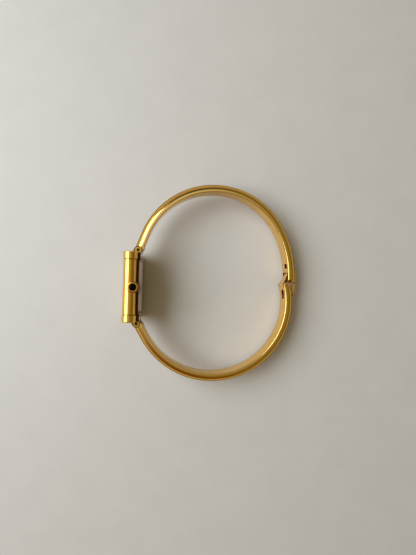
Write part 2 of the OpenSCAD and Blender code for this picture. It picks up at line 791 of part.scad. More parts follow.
module coil() {
    color("sienna") translate([stator_x + stator_t + core_t / 2, coil_up, 0]) difference() {
        union() {
            cylinder(r = coil_d / 2 - 0.05, h = coil_l, center = true);
            mirror_z() translate([0, 0, coil_l / 2 - 0.2]) cylinder(r = coil_d / 2, h = 0.2);
        }
        cube([core_t + 2 * seat_fit, 0.6 + 2 * seat_fit, coil_l + 2 * over], center = true);
    }
}

module coil_core() {
    x = stator_x + stator_t;
    reach = core_reach - 0.05;
    color("dimgray") {
        translate([x, coil_up - 0.3, -reach]) cube([core_t, 0.6, 2 * reach]);
        mirror_z() translate([x, coil_up - 0.45, coil_l / 2 + 0.2])
            cube([core_t, core_h, reach - coil_l / 2 - 0.2]);
    }
}

module stator() {
    leg = core_reach - coil_l / 2 - 0.15;
    bar = [rotor_p[1] - 0.45, rotor_p[1] + 0.45];
    low = coil_up - core_h / 2;
    color("gray") difference() {
        union() {
            along_x(stator_x) linear_extrude(stator_t) polygon([
                [-core_reach, low], [leg - core_reach, low], [leg - core_reach, bar[0]],
                [core_reach - leg, bar[0]], [core_reach - leg, low], [core_reach, low],
                [core_reach, bar[1]], [-core_reach, bar[1]]
            ]);
            disc(stator_x, stator_x + stator_t, rotor_d / 2 + side_gap + 0.28, rotor_p);
        }
        disc(stator_x - over, stator_x + over, rotor_d / 2 + side_gap, rotor_p);
    }
}

module arbor(from_x, p) {
    disc(from_x - pivot_depth + 0.02, bridge_x + bridge_t - 0.02, arbor_r, p);
}

module rotor() {
    color("slategray") {
        disc(stator_x - 0.05, stator_x + 0.4, rotor_d / 2, rotor_p);
        wheel(rotor_teeth, train_module, plate_x + 1.5, plate_x + 1.85, rotor_p);
        arbor(floor_x, rotor_p);
    }
}

module intermediate_wheel() {
    color("darkgoldenrod") {
        wheel(intermediate_teeth, train_module, plate_x + 1.6, plate_x + 1.6 + wheel_t,
              intermediate_p);
        wheel(intermediate_pinion, train_module, plate_x + 1.25, plate_x + 1.6, intermediate_p);
        arbor(floor_x, intermediate_p);
    }
}

module third_wheel() {
    color("darkgoldenrod") {
        wheel(third_teeth, train_module, plate_x + 1.3, plate_x + 1.3 + wheel_t, third_p);
        wheel(third_pinion, train_module, plate_x + 0.95, plate_x + 1.3, third_p);
        arbor(boss_x, third_p);
    }
}

module centre_wheel() {
    hand_x = dial_front_x - marker_h - 0.45;
    color("darkgoldenrod") {
        wheel(centre_teeth, train_module, plate_x + 1, plate_x + 1 + wheel_t, centre_p);
        disc(plate_x + 1, bridge_x + bridge_t - 0.02, arbor_r);
        disc(plate_x + 0.3, plate_x + 1, cannon_r);
        wheel(cannon_teeth, train_module, plate_x + 0.3, plate_x + 0.55, centre_p);
        disc(hand_x + hand_t, plate_x + 0.3, cannon_r);
        disc(hand_x - 0.05, hand_x + hand_t, cannon_r - 0.1);
    }
}

module minute_wheel() {
    color("darkgoldenrod") difference() {
        union() {
            wheel(minute_teeth, train_module, plate_x + 0.35, plate_x + 0.35 + wheel_t, minute_p);
            wheel(minute_pinion, hour_module, plate_x + 0.05, plate_x + 0.35, minute_p);
        }
        disc(plate_x - over, pocket_x + over, post_r + running_fit, minute_p);
    }
}

module hour_wheel() {
    hand_x = dial_front_x - marker_h - 0.2;
    color("darkgoldenrod") difference() {
        union() {
            wheel(hour_teeth, hour_module, plate_x + 0.05, plate_x + 0.05 + wheel_t, centre_p);
            disc(hand_x + hand_t, plate_x + 0.05, pipe_r);
            disc(hand_x - 0.05, hand_x + hand_t, pipe_r - 0.1);
        }
        disc(hand_x - over, plate_x + over, cannon_r + running_fit);
    }
}

module circuit_board() {
    left = board_left;
    right = board_right;
    color("darkgreen") along_x(floor_x) linear_extrude(board_t) polygon([
        [left, 1.5], [right - 0.4, 1.5], [right - 0.4, 2.2], [right, 3], [right, 4.6], [left, 4.6]
    ]);
}

module control_chip() {
    color("black") along_x(floor_x + board_t, [(board_left + board_right) / 2, 3.85])
        translate([-chip_w / 2, -chip_w / 2, 0]) cube([chip_w, chip_w, 0.45]);
}

module quartz_can() {
    r = 0.5;
    color("lightsteelblue") translate([floor_x + board_t + r, 1.4, movement_w / 2 - 1.1])
        rotate([-90, 0, 0]) cylinder(r = r, h = 1.65);
}

// Arms

// Puts the drawing's origin at the long arc's centre, with +X towards its join with the last arc
module from_centre(arm) {
    translate([arm[0], arm[1], 0]) rotate(join(arm)) children();
}

// Draws children, a section whose X is the distance outwards from the mid line, along the
// straight stretch of an arm from s0 to s1 away from its hinge pin
module along_neck(arm, s0, s1) {
    far = s1 == undef ? neck_length(arm) : s1;
    from_centre(arm) rotate(turn(arm)) rotate([90, 0, 0])
        translate([0, 0, s0 - neck_length(arm)]) linear_extrude(far - s0)
            translate([arm[2], 0]) children();
}

// Draws the same section round both arcs of an arm, down to the height low_y
module along_arcs(arm, low_y) {
    from_centre(arm) difference() {
        rotate_extrude(angle = turn(arm) + over, $fn = 180) translate([arm[2], 0]) children();
        rotate(turn(arm)) translate([0, 0, -arm_w]) cube([2 * arm[2], arm[2], 2 * arm_w]);
    }
    along_flank(arm, low_y) children();
}

// Draws the same section round the last arc only, from low_y up to its join or to top_y
module along_flank(arm, low_y, top_y) {
    c = flank_centre(arm);
    span = ceil(join(arm) - asin((low_y - c[1]) / (arm[3] - arm_t))) + over;
    reach = arm[3] + arm_t;
    difference() {
        from_centre(arm) translate([arm[2] - arm[3], 0, 0]) mirror([0, 1, 0])
            rotate_extrude(angle = span, $fn = 180) translate([arm[3], 0]) children();
        translate([c[0], low_y - reach, -arm_w]) cube([reach, reach, 2 * arm_w]);
        if (top_y != undef) translate([c[0], top_y, -arm_w]) cube([reach, reach, 2 * arm_w]);
    }
}

module outer_section() {
    half_w = arm_w / 2;
    polygon(concat([[inner_off, lip_bevel - half_w], [inner_off + lip_bevel, -half_w]],
        half_dome(inner_off + arm_edge, arm_t - arm_edge, half_w, 24),
        [[inner_off + lip_bevel, half_w], [inner_off, half_w - lip_bevel]]));
}

module hollow_section(fit = 0) {
    x = inner_off + liner_t + fit;
    half_w = hollow_half_w - fit;
    polygon(concat([[x, -half_w]], half_dome(inner_off + arm_edge, hollow_dome - fit, half_w, 12),
        [[x, half_w]]));
}

module liner_slot_section() {
    translate([inner_off - over, -hollow_half_w])
        square([over + liner_t + 0.1, 2 * hollow_half_w]);
}

module shell_section() {
    difference() {
        outer_section();
        hollow_section();
        liner_slot_section();
    }
}

module liner_section() {
    translate([inner_off, seat_fit - hollow_half_w])
        square([liner_t, 2 * (hollow_half_w - seat_fit)]);
}

module arm_shell(arm, end_y) {
    along_neck(arm, hinge_block_l) shell_section();
    along_arcs(arm, end_y) shell_section();
}

module hinge_block(arm) {
    difference() {
        union() {
            along_neck(arm, hinge_block_l / 3, hinge_block_l) outer_section();
            along_neck(arm, hinge_block_l / 2, hinge_block_l + plug_l) hollow_section(seat_fit);
            rod_z([0, pin_y], knuckle_r, -arm_w / 2, arm_w / 2);
        }
        rod_z([0, pin_y], pin_d / 2 + running_fit, -arm_w, arm_w);
    }
}

module hinge_pin() {
    half = arm_w / 2 + side_gap + lug_t - pin_recess;
    rod_z([0, pin_y], pin_d / 2, -half, half);
}

module upper_hinge_pin() {
    color("dimgray") hinge_pin();
}

module lower_hinge_pin() {
    color("dimgray") mirror([0, 1, 0]) hinge_pin();
}

module upper_arm_shell() {
    color("goldenrod") arm_shell(upper_arm, upper_end_y);
}

module upper_arm_liner() {
    x = flank_centre(upper_arm)[0];
    color("gold") difference() {
        union() {
            along_neck(upper_arm, hinge_block_l) liner_section();
            along_arcs(upper_arm, mouth_y) liner_section();
        }
        translate([x, window_y, window_z - window_w / 2])
            cube([2 * upper_flank_r, window_l, window_w]);
    }
}

module upper_hinge_block() {
    color("goldenrod") hinge_block(upper_arm);
}

module cheek_section() {
    intersection() {
        hollow_section(seat_fit);
        for (s = [0, 1]) mirror([0, s]) translate([inner_off + liner_t + cheek_depth, cheek_z])
            square([arm_t, 2 * cheek_w]);
    }
}

module bridge_section() {
    intersection() {
        hollow_section(seat_fit);
        translate([inner_off + liner_t + cheek_depth, -hollow_half_w])
            square([arm_t, 2 * hollow_half_w]);
    }
}

module upper_clasp_fork() {
    bridge_l = 0.9;
    color("goldenrod") difference() {
        union() {
            along_flank(upper_arm, ear_y, fork_top_y - bridge_l / 2) cheek_section();
            along_flank(upper_arm, fork_top_y - bridge_l, fork_top_y) bridge_section();
            mirror_z() rod_z([ear_x, ear_y], ear_r, cheek_z, cheek_z + cheek_w);
            mirror_z() translate([ear_x, ear_y, cheek_z])
                cube([0.9, upper_end_y - seat_fit - ear_y, cheek_w]);
        }
        rod_z([ear_x, ear_y], ear_pin_d / 2 + seat_fit, -arm_w, arm_w);
    }
}

module fork_pins() {
    color("dimgray") mirror_z() rod_z([ear_x, ear_y], ear_pin_d / 2, cheek_z, cheek_z + cheek_w
                                      - 0.25);
}

module cover_section() {
    difference() {
        intersection() {
            polygon(half_dome(inner_off + arm_edge, arm_t - arm_edge + cover_t,
                              arm_w / 2 + cover_t, 24));
            translate([0, -cover_w / 2]) square([2 * arm_t, cover_w]);
        }
        polygon(concat([[inner_off, -arm_w / 2]],
            half_dome(inner_off + arm_edge, arm_t - arm_edge + seat_fit, arm_w / 2, 24),
            [[inner_off, arm_w / 2]]));
    }
}

module clasp_cover() {
    foot_y = barrel_y + barrel_r + barrel_gap;
    own = barrel_w / 2 + cover_gap;
    color("goldenrod") difference() {
        union() {
            along_flank(upper_arm, foot_y, cover_top_y) cover_section();
            mirror_z() rod_z([barrel_x, barrel_y], barrel_r, own, cover_w / 2);
            mirror_z() translate([barrel_x, barrel_y, own])
                cube([barrel_r - 0.05, barrel_r + 0.4, cover_w / 2 - own]);
        }
        rod_z([barrel_x, barrel_y], lever_pin_d / 2 + seat_fit, -arm_w, arm_w);
    }
}

module lever_pin() {
    color("dimgray") rod_z([barrel_x, barrel_y], lever_pin_d / 2, -cover_w / 2, cover_w / 2);
}

module clasp_lever() {
    top_y = barrel_y - barrel_r - barrel_gap - 0.1;
    c = [lever_bend_cx, lever_bend_cy];
    inner_r = lever_bend_r - lever_t;
    top_a = asin((top_y - c[1]) / lever_bend_r);
    tip_a = asin((-lever_tip_y - c[1]) / lever_bend_r);
    color("goldenrod") difference() {
        union() {
            translate([0, 0, -cover_w / 2]) linear_extrude(cover_w) polygon(concat(
                arc(c, lever_bend_r, top_a, tip_a, 10),
                [c + polar(lever_bend_r - lever_t / 2, tip_a - 0.5)],
                arc(c, inner_r, tip_a, top_a, 10)));
            rod_z([barrel_x, barrel_y], barrel_r, -barrel_w / 2, barrel_w / 2);
            translate([barrel_x + barrel_r - 0.05 - lever_t, top_y - 0.3, -barrel_w / 2])
                cube([lever_t, barrel_y - top_y + 0.3, barrel_w]);
        }
        rod_z([barrel_x, barrel_y], lever_pin_d / 2 + running_fit, -arm_w, arm_w);
    }
}

module lower_arm_shell() {
    color("goldenrod") mirror([0, 1, 0]) arm_shell(lower_arm, -lower_end_y);
}

module lower_arm_liner() {
    x = flank_centre(lower_arm)[0];
    low_y = tongue_root_y - 0.7 - keyhole_l;
    color("gold") difference() {
        mirror([0, 1, 0]) {
            along_neck(lower_arm, hinge_block_l) liner_section();
            along_arcs(lower_arm, -tongue_root_y) liner_section();
        }
        translate([x, low_y, keyhole_z - keyhole_w / 2])
            cube([lower_flank_r, keyhole_l - keyhole_d / 2, keyhole_w]);
        translate([x, low_y + keyhole_l - keyhole_d / 2, keyhole_z]) rotate([0, 90, 0])
            cylinder(d = keyhole_d, h = lower_flank_r);
    }
}

module lower_hinge_block() {
    color("goldenrod") mirror([0, 1, 0]) hinge_block(lower_arm);
}

module lower_clasp_block() {
    block_l = 1.6;
    color("goldenrod") mirror([0, 1, 0])
        along_flank(lower_arm, -lower_end_y, block_l - lower_end_y) hollow_section(seat_fit);
}

module clasp_tongue() {
    root_x = arm_face_x(lower_arm, -tongue_root_y, -arm_t / 2);
    bend_y = lower_end_y - 0.1;
    deep_x = mouth_x + 0.08;
    top_x = deep_x + 0.12 * (tongue_top_y - mouth_y) + 0.05;
    // Side view, wrist side first
    side = [
        [root_x, tongue_root_y + seat_fit], [lower_inner_x, bend_y], [deep_x, mouth_y],
        [top_x, tongue_top_y]
    ];
    taper = [[-arm_w, 0], [bend_y, 0], [mouth_y - 0.4, 1], [tongue_top_y + over, 1]];
    widths = [tongue_root_w / 2, tongue_tip_w / 2];
    color("goldenrod") intersection() {
        translate([0, 0, -arm_w / 2]) linear_extrude(arm_w) polygon(concat(side,
            [for (i = [len(side) - 1:-1:0]) side[i] + [tongue_t, 0]]));
        translate([root_x - arm_w, 0, 0]) rotate([0, 90, 0]) linear_extrude(2 * arm_w)
            polygon(concat([for (t = taper) [-widths[t[1]], t[0]]],
                           [for (i = [3:-1:0]) [widths[taper[i][1]], taper[i][0]]]));
    }
}

place() case_middle();
place() bezel();
place() crystal();
place() crystal_gasket();
place() dial();
place() hour_markers();
place() hour_hand();
place() minute_hand();
place() movement_holder();
place() main_plate();
place() train_bridge();
place() battery();
place() battery_clamp();
place() coil();
place() coil_core();
place() stator();
place() rotor();
place() intermediate_wheel();
place() third_wheel();
place() centre_wheel();
place() minute_wheel();
place() hour_wheel();
place() circuit_board();
place() control_chip();
place() quartz_can();
place() movement_screws();
place() winding_stem();
place() setting_pinion();
place() stem_clip();
place() crown();
place() crown_stone();
place() crown_gasket();
place() case_tube();
place() case_back();
place() case_back_gasket();
place() upper_hinge_pin();
place() lower_hinge_pin();
place() upper_arm_shell();
place() upper_arm_liner();
place() upper_hinge_block();
place() upper_clasp_fork();
place() fork_pins();
place() clasp_cover();
place() lower_arm_shell();
place() lower_arm_liner();
place() lower_hinge_block();
place() lower_clasp_block();
place() clasp_tongue();
place() clasp_lever();
place() lever_pin();
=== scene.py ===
"""Looks for the ladies' bangle watch: materials, finer pieces, light, floor and camera."""
import json
import math

import bpy
from mathutils import Matrix
from mathutils import Vector


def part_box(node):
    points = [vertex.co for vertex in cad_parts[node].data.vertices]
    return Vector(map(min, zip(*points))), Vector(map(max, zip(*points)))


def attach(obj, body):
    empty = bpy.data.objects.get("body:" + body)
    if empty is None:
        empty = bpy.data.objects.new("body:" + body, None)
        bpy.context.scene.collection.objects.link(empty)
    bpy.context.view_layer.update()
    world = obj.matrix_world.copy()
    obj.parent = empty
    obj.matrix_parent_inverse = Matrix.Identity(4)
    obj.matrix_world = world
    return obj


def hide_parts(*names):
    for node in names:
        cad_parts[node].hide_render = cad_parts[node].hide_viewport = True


MM = 0.001

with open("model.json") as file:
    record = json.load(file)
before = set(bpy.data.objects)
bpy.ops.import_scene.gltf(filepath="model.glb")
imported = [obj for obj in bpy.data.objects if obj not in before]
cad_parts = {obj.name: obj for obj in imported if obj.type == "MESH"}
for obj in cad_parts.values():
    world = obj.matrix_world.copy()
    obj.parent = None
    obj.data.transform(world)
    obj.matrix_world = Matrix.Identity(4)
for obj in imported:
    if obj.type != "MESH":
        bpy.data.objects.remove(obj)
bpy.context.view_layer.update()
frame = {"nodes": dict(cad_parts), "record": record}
NODES = frame["nodes"]


def centre(node):
    low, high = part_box(node)
    return (low + high) / 2


# The drawing origin of the watch, midway between the two hinge pins
ORIGIN = (centre("upper_hinge_pin") + centre("lower_hinge_pin")) / 2


def at(x, y, z):
    """A point given in millimetres from the drawing origin."""
    return ORIGIN + Vector((x, y, z)) * MM


# Sizes are millimetres from the drawing origin: X to the clasp, Y to 12 o'clock, Z to the crown

PIN_Y = 11.25

# The arms' section
ARM_W = 6.4
ARM_T = 2.7
SHELL_WALL = 0.45
LINER_T = 0.4
# Thickness of an arm's flat edge in the hollow and outside, and radius of its corners
HOLLOW_EDGE = 0.8
FINE_EDGE = 0.3
CORNER_R = 0.28
# How far the dome stays inside the arm's thickness, and its power, where 1 gives an ellipse
SKIN = 0.006
FULLNESS = 0.76
CORNER_STEPS = 5
DOME_STEPS = 48
HOLLOW_STEPS = 16

# The arms' run: a straight neck off the hinge block, a long arc and a last arc to the clasp.
# "turn" is the cosine and sine of the long arc's sweep, and "end" the height of the arm's end on
# its own side of the case
BLOCK_L = 1.7
LONG_STEPS = 96
LAST_STEPS = 30
UPPER = {"name": "upper", "side": 1, "centre": (24.15, 8), "long_r": 23.7,
         "turn": (-0.6, 0.8), "last_r": 31, "end": 3.4}
LOWER = {"name": "lower", "side": -1, "centre": (23.85, 3.6), "long_r": 24.5,
         "turn": (-0.5376, 0.8432), "last_r": 23.7, "end": -2}

# The crown, its collar and its stone. CROWN_Z is the crown's lower end
CROWN_X = -0.9
CROWN_Z = 10.3
CROWN_R = 1.75
CROWN_H = 1.35
CROWN_STEPS = 192
FLUTES = 24
FLUTE_DEPTH = 0.11
FLUTE_POWER = 1.5
# The flutes cut what lies no further inside CROWN_R than this
FLUTE_REACH = 0.1
# The shoulder between skirt and collar: where its flat begins inside CROWN_R, and its rounding
SHOULDER_IN = 0.3
SHOULDER_ROUND = 0.2
COLLAR_R = 1.42
COLLAR_H = 0.2
COLLAR_FOOT = 0.01
COLLAR_ROUND = 0.12
ROUND_STEPS = 4
STONE_R = 1.01
STONE_TIP_R = 0.004
STONE_DOME = 0.31
# How far the dome's edge lies below the collar's rim, and the stone's foot below the shoulder
STONE_SUNK = 0.06
STONE_FOOT = 0.25
STONE_STEPS = 64
CAP_STEPS = 12
# The skirt as (distance inside CROWN_R, height over CROWN_Z), from the bore to the shoulder
SKIRT = [(1.07, 0.02), (0.12, 0), (0, 0.12), (0, 0.5), (0, 1.1), (0.06, 1.25)]
# The stone's seat as (distance outside STONE_R, height over the collar's rim)
SEAT = [(0.06, -0.01), (0, -0.08), (0, -0.5)]

# Where dirt, painted shade and stains on the case fade in and out, first the painted shade in the
# gap over the case back
GAP_X = (-1.1, -0.7)
GAP_Z_LOW = (7.0, 7.3)
GAP_Z_HIGH = (7.55, 7.8)
# The groove beside each cap of a bar: its place along Y, the distance from it, its start along Z,
# and how full of dirt it is
GROOVE_Y = 8.15
GROOVE_OFF = (0.1, 0.18)
GROOVE_Z = (6.0, 6.2)
GROOVE_DIRT = 0.75
# The lugs along Y and Z, and the painted highlight ring, dark rim and stain by the distance from a
# pin
LUG_Y = (9.0, 9.8)
LUG_Z = (5.2, 5.6)
HIGHLIGHT_RING_REACH = (0.85, 1.0)
RIM_REACH = (1.2, 1.4)
STAIN_REACH = (2.0, 2.8)
# How squarely a face looks along Z where the stain begins and where it is full
STAIN_FACING = (0.6, 0.8)

# Distances from an arm's mid width over which its middle, painted darker as a painted reflection
# of shade, fades out and its pale edge, rubbed wear with a painted highlight, fades in, and how
# far the patches of wear shift them
PAINTED_SHADE_HEIGHT = (1.9, 2.6)
EDGE_WEAR_AND_SHEEN_HEIGHT = (3.1, 3.3)
UNEVEN_HEIGHT = 0.3
# The crown's fluted skirt is painted darker towards its outer edge, from the first to the second
# distance from its axis
CROWN_EDGE_DARKENING = (CROWN_R - 0.25, CROWN_R - 0.05)

# Materials. Colours are linear red, green and blue, and grains are noise scales per metre

GOLD = (0.90, 0.56, 0.11)
GOLD_WORN = (0.86, 0.52, 0.12)
# Paler gold of the arms' edges: rubbed wear and a painted highlight
GOLD_WORN_EDGE_AND_SHEEN = (0.93, 0.64, 0.22)
# Painted shade: the darker gold of the arms' middle stands for a dark reflection of the shaded
# table
GOLD_PAINTED_SHADE = (0.40, 0.20, 0.02)
LINING = (0.92, 0.60, 0.18)
LINING_WORN = (0.80, 0.50, 0.13)
CROWN = (0.74, 0.42, 0.05)
CROWN_WORN = (0.62, 0.33, 0.05)
# Darker colour painted towards the outer edge of the crown
CROWN_DARK_EDGE = (0.24, 0.11, 0.02)
# Dirt in the grooves, and painted shade in the gap over the case back
CASE_DIRT_AND_SHADE = (0.07, 0.022, 0.003)
STAIN = (0.62, 0.38, 0.06)
STAIN_DARK = (0.34, 0.18, 0.025)
# A painted highlight: the pale ring round each pin end
PIN_RING_HIGHLIGHT = (0.80, 0.50, 0.08)
PIN_RIM = (0.14, 0.055, 0.008)

SOFT = 150
FINE = 700
ALONG_ARM = (55, 4200, 4200)
ALONG_LINING = (70, 3000, 900)
ROUND_CROWN = (300, 1800, 2500)
FROM_CENTRE = (3000, 200, 120)


class Tree:
    """A node tree, with short calls for the nodes it needs."""

    def __init__(self, owner):
        owner.use_nodes = True
        self.tree = owner.node_tree

    def node(self, kind, **settings):
        made = self.tree.nodes.new("ShaderNode" + kind)
        for key, value in settings.items():
            setattr(made, key, value)
        return made

    def link(self, source, target):
        self.tree.links.new(source, target)

    def place(self):
        return self.node("TexCoord").outputs["Object"]

    def math(self, operation, first, second=None):
        made = self.node("Math", operation=operation)
        for socket, value in zip(made.inputs, (first, second)):
            if value is None:
                continue
            if isinstance(value, (int, float)):
                socket.default_value = value
            else:
                self.link(value, socket)
        return made.outputs["Value"]

    def product(self, first, *others):
        for other in others:
            first = self.math("MULTIPLY", first, other)
        return first

    def hypotenuse(self, a, b):
        squares = self.math("ADD", self.product(a, a), self.product(b, b))
        return self.math("SQRT", squares)

    def split(self, vector):
        """The X, Y and Z of a vector."""
        made = self.node("SeparateXYZ")
        self.link(vector, made.inputs["Vector"])
        return [made.outputs[k] for k in "XYZ"]

    def from_point(self, point):
        """The object coordinates, counted from a point."""
        moved = self.node("VectorMath", operation="SUBTRACT")
        self.link(self.place(), moved.inputs[0])
        moved.inputs[1].default_value = point
        return moved.outputs["Vector"]

    def round_axis(self, middle, axis="Z"):
        """Way round the X or Z axis through middle, height along it and distance from it."""
        x, y, z = self.split(self.from_point(middle))
        a, b, height = (y, z, x) if axis == "X" else (x, y, z)
        reach = self.hypotenuse(a, b)
        joined = self.node("CombineXYZ")
        self.link(self.product(self.math("ARCTAN2", b, a), reach), joined.inputs["X"])
        self.link(height, joined.inputs["Y"])
        self.link(reach, joined.inputs["Z"])
        return joined.outputs["Vector"]

    def scaled(self, grain, vector=None):
        """A vector, or else the object coordinates, stretched by one number or one per axis."""
        mapping = self.node("Mapping")
        each = grain if isinstance(grain, tuple) else (grain, grain, grain)
        mapping.inputs["Scale"].default_value = each
        self.link(vector or self.place(), mapping.inputs["Vector"])
        return mapping.outputs["Vector"]

    def noise(self, grain, detail=3, rough=0.5, vector=None):
        made = self.node("TexNoise")
        made.inputs["Scale"].default_value = 1.0
        made.inputs["Detail"].default_value = detail
        made.inputs["Roughness"].default_value = rough
        self.link(self.scaled(grain, vector), made.inputs["Vector"])
        return made.outputs["Fac"]

    def scratches(self, grain, vector=None):
        return self.noise(grain, 3, 0.6, vector)

    def spread(self, value, low, high, start=0.3, end=0.7):
        """Maps start to end onto low to high. A noise mostly lies between 0.3 and 0.7."""
        made = self.node("MapRange")
        made.inputs["From Min"].default_value = start
        made.inputs["From Max"].default_value = end
        made.inputs["To Min"].default_value = low
        made.inputs["To Max"].default_value = high
        self.link(value, made.inputs["Value"])
        return made.outputs["Result"]

    def rising(self, value, start, end):
        """From 0 at start to 1 at end, both in millimetres."""
        return self.spread(value, 0, 1, start * MM, end * MM)

    def falling(self, value, start, end, high=1):
        """From high at start to 0 at end, both in millimetres."""
        return self.spread(value, high, 0, start * MM, end * MM)

    def mixed(self, factor, first, second):
        """Blends two colours, each a plain colour or a socket."""
        made = self.node("Mix", data_type="RGBA")
        for key, value in (("A", first), ("B", second)):
            if isinstance(value, tuple):
                made.inputs[key].default_value = (*value, 1)
            else:
                self.link(value, made.inputs[key])
        self.link(factor, made.inputs["Factor"])
        return made.outputs["Result"]

    def patched(self, first, second, grain, detail=4, rough=0.5):
        """Soft patches of two colours."""
        return self.mixed(self.spread(self.noise(grain, detail, rough), 0, 1), first, second)

    def ramp(self, value, stops):
        """A colour that runs through (place, colour) stops."""
        made = self.node("ValToRGB")
        steps = made.color_ramp.elements
        steps[0].position = stops[0][0]
        steps[-1].position = stops[-1][0]
        for place, _ in stops[1:-1]:
            steps.new(place)
        for step, (_, colour) in zip(steps, stops):
            step.color = (*colour, 1)
        self.link(value, made.inputs["Fac"])
        return made.outputs["Color"]

    def shown(self, factor, first, second, output):
        """Shows the second shader where the factor is 1, and else the first."""
        choose = self.node("MixShader")
        self.link(factor, choose.inputs["Fac"])
        self.link(first, choose.inputs[1])
        self.link(second, choose.inputs[2])
        self.link(choose.outputs["Shader"], self.tree.nodes[output].inputs["Surface"])

    def seen_directly(self):
        return self.node("LightPath").outputs["Is Camera Ray"]


class Shader(Tree):
    """A material and its surface shader."""

    def __init__(self, name, **sockets):
        self.material = bpy.data.materials.new(name)
        super().__init__(self.material)
        self.surface = self.tree.nodes["Principled BSDF"]
        for key, value in sockets.items():
            self.surface.inputs[key.replace("_", " ")].default_value = value

    def colour(self, socket):
        self.link(socket, self.surface.inputs["Base Color"])

    def roughness(self, socket):
        self.link(socket, self.surface.inputs["Roughness"])

    def bump(self, height, depth):
        """Bumps of a depth in millimetres."""
        made = self.node("Bump")
        made.inputs["Distance"].default_value = depth * MM
        self.link(height, made.inputs["Height"])
        self.link(made.outputs["Normal"], self.surface.inputs["Normal"])

    def grained(self, fine, low, high, depth):
        """Roughness from low to high and bumps of a depth, both from one fine noise."""
        self.roughness(self.spread(fine, low, high))
        self.bump(fine, depth)

    def speckled(self, fine, base, second, rough, vary, depth):
        """Colour, roughness and bumps that all follow one fine noise."""
        self.colour(self.mixed(self.spread(fine, 0, 1), base, second))
        self.grained(fine, rough * (1 - vary), rough * (1 + vary), depth)


def metal(name, base, worn, rough, grain=FINE, depth=0.0006, wear=SOFT):
    """Metal with faint uneven wear, and scratches that follow the long side of its grain."""
    s = Shader(name, Metallic=1.0)
    s.colour(s.patched(base, worn, wear))
    s.grained(s.scratches(grain), low=rough * 0.75, high=rough * 1.3, depth=depth)
    return s.material


def plastic(name, base, second, rough):
    """Moulded plastic or rubber with a fine speckle."""
    s = Shader(name)
    s.speckled(s.noise(2200, detail=4, rough=0.6), base, second, rough, vary=0.15, depth=0.003)
    return s.material


def lacquer(name, base, second, rough, sunray=False):
    """Lacquer, plain or over rays that run out from the dial's centre."""
    s = Shader(name, Coat_Weight=0.4, Coat_Roughness=0.1)
    if sunray:
        fine = s.noise(FROM_CENTRE, vector=s.round_axis(at(0, 0, 0), "X"))
    else:
        fine = s.noise(900)
    s.speckled(fine, base, second, rough, vary=0.2, depth=0.001)
    return s.material


def arc_centre(arm):
    return at(arm["centre"][0], arm["side"] * arm["centre"][1], 0)


def arm_gold(arm):
    """Gold with scratches along the arm, paler on its edges from rubbed wear and a painted
    highlight, and painted darker in the middle as a painted reflection of shade.
    """
    s = Shader(arm["name"] + "_gold", Metallic=1.0, Specular_Tint=(0.40, 0.26, 0.10, 1))
    place = s.round_axis(arc_centre(arm))
    height = s.math("ABSOLUTE", s.split(place)[1])
    patches = s.noise(SOFT, detail=4)
    uneven = s.math("ADD", height, s.product(patches, UNEVEN_HEIGHT * MM))
    worn = s.mixed(s.spread(patches, 0, 1), GOLD, GOLD_WORN)
    # Painted shade: the arm's middle is painted darker as a reflection of shade
    shaded = s.mixed(s.falling(uneven, *PAINTED_SHADE_HEIGHT), worn, GOLD_PAINTED_SHADE)
    # Rubbed wear and a painted highlight make the arm's edges paler
    s.colour(s.mixed(s.rising(uneven, *EDGE_WEAR_AND_SHEEN_HEIGHT), shaded, GOLD_WORN_EDGE_AND_SHEEN))
    s.grained(s.scratches(ALONG_ARM, place), low=0.1, high=0.18, depth=0.0008)
    return s.material


def lining_gold(arm):
    """Brushed gold on the wrist side."""
    s = Shader(arm["name"] + "_lining", Metallic=1.0, Specular_Tint=(0.99, 0.94, 0.80, 1))
    s.colour(s.patched(LINING, LINING_WORN, grain=260))
    brush = s.scratches(ALONG_LINING, s.round_axis(arc_centre(arm)))
    s.grained(brush, low=0.07, high=0.16, depth=0.002)
    return s.material


def crown_gold():
    """Turned gold, painted darker towards the outer edge of its fluted skirt."""
    s = Shader("crown_gold", Metallic=1.0)
    place = s.round_axis(at(CROWN_X, 0, 0))
    rim = s.rising(s.split(place)[2], *CROWN_EDGE_DARKENING)
    s.colour(s.mixed(rim, s.patched(CROWN, CROWN_WORN, SOFT), CROWN_DARK_EDGE))
    s.grained(s.scratches(ROUND_CROWN, place), low=0.16, high=0.3, depth=0.0012)
    return s.material


